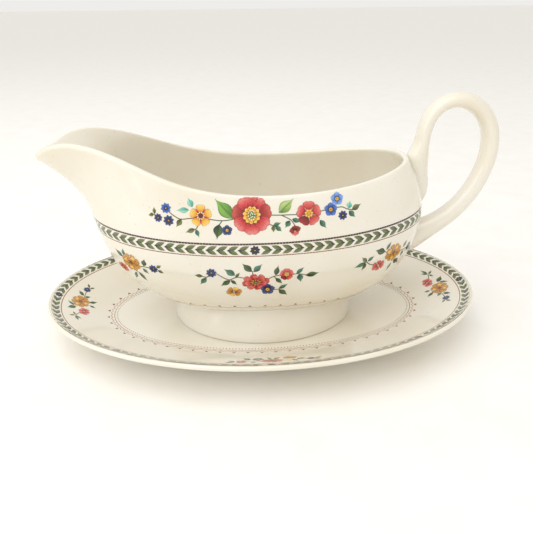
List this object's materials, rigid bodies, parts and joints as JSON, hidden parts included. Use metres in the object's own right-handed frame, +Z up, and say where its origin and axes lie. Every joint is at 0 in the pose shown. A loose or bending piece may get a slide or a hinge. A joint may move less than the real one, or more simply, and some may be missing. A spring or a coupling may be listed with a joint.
{
  "type": "gravy boat",
  "caption": "White bone-china gravy boat with a long flared spout and a high loop handle, standing loose on its oval stand.",
  "frame": {"origin": "centre of the stand's foot ring, on the table it stands on", "axes": "+Z up, +X from the middle towards the handle, -X towards the spout, +Y across the boat"},
  "size_m": [0.2227, 0.1436, 0.1153],
  "materials": {
    "china": "glossy",
    "enamel": "glossy"
  },
  "bodies": {
    "stand": {"stand": "china"},
    "boat": {"boat_bowl": "china", "boat_foot": "china", "boat_handle": "china"}
  },
  "joints": [
    {"name": "boat_lift", "type": "slide", "parent": "stand", "child": "boat", "axis": [0, 0, 1], "range_m": [0, 0.12]}
  ]
}
